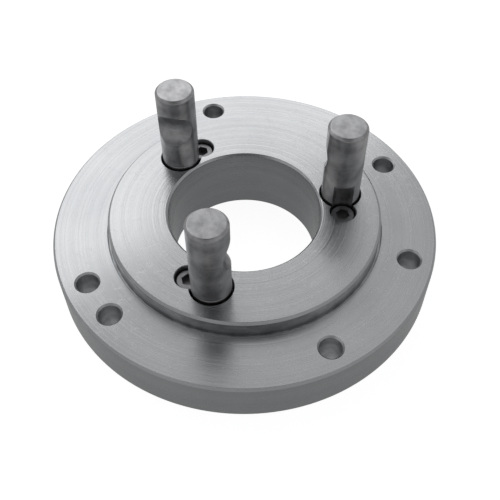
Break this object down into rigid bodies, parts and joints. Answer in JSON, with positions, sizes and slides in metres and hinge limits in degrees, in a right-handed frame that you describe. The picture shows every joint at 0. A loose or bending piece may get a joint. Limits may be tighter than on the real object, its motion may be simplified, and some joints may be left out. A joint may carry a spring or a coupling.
{
  "type": "chuck adapter plate",
  "caption": "Round steel back plate that carries a lathe chuck on a camlock spindle nose, with notched studs standing round a tapered centring bore.",
  "frame": {"origin": "centre of the end face of the register, the lowest face of the plate", "axes": "+Z along the bore axis towards the spindle, the way the studs point; +Y towards camlock_stud_a; the four bolt holes for one kind of chuck lie on the diagonals"},
  "size_m": [0.16, 0.16, 0.067],
  "materials": {
    "plate_steel": "fine turned, satin",
    "stud_steel": "hardened and ground, darker",
    "screw_steel": "black oxide"
  },
  "bodies": {
    "root": {"adapter_plate": "plate_steel", "camlock_stud_a": "stud_steel", "camlock_stud_b": "stud_steel", "camlock_stud_c": "stud_steel", "lock_screw_a": "screw_steel", "lock_screw_b": "screw_steel", "lock_screw_c": "screw_steel"}
  },
  "joints": []
}
